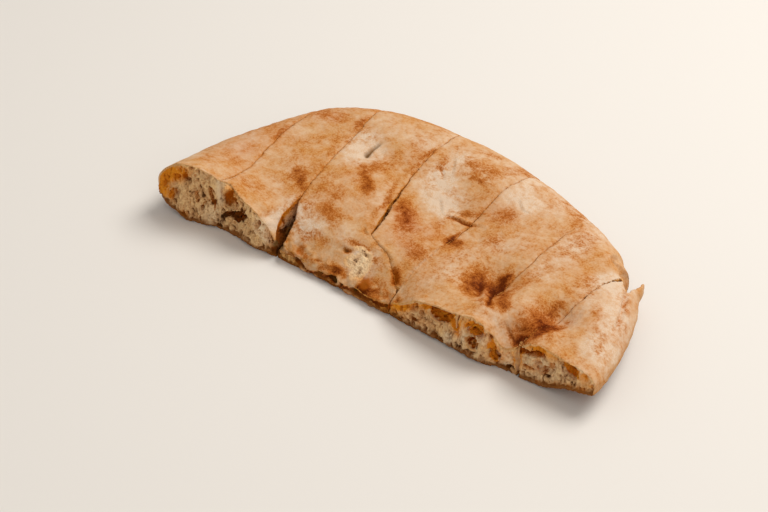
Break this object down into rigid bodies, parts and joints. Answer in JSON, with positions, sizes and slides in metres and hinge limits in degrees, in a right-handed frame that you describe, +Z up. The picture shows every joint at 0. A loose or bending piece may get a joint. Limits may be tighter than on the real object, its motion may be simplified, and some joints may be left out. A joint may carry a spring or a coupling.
{
  "type": "lavash flatbread",
  "caption": "Half of a thick round flatbread with a browned, floury crust, cut crosswise into slices that still lie together in the bread's shape.",
  "frame": {"origin": "on the surface the bread lies on, under the middle of its box", "axes": "+X along the straight cut that halved the bread, left to right as seen from the cut; +Y from the cut to the curved back; +Z up"},
  "size_m": [0.2728, 0.1434, 0.0369],
  "materials": {
    "bread": "matt baked crust, pale gold with brown patches, over a beige crumb"
  },
  "bodies": {
    "root": {"slice_1": "bread", "slice_2": "bread", "slice_3": "bread", "slice_4": "bread", "slice_5": "bread", "slice_6": "bread", "slice_7": "bread"}
  },
  "joints": []
}
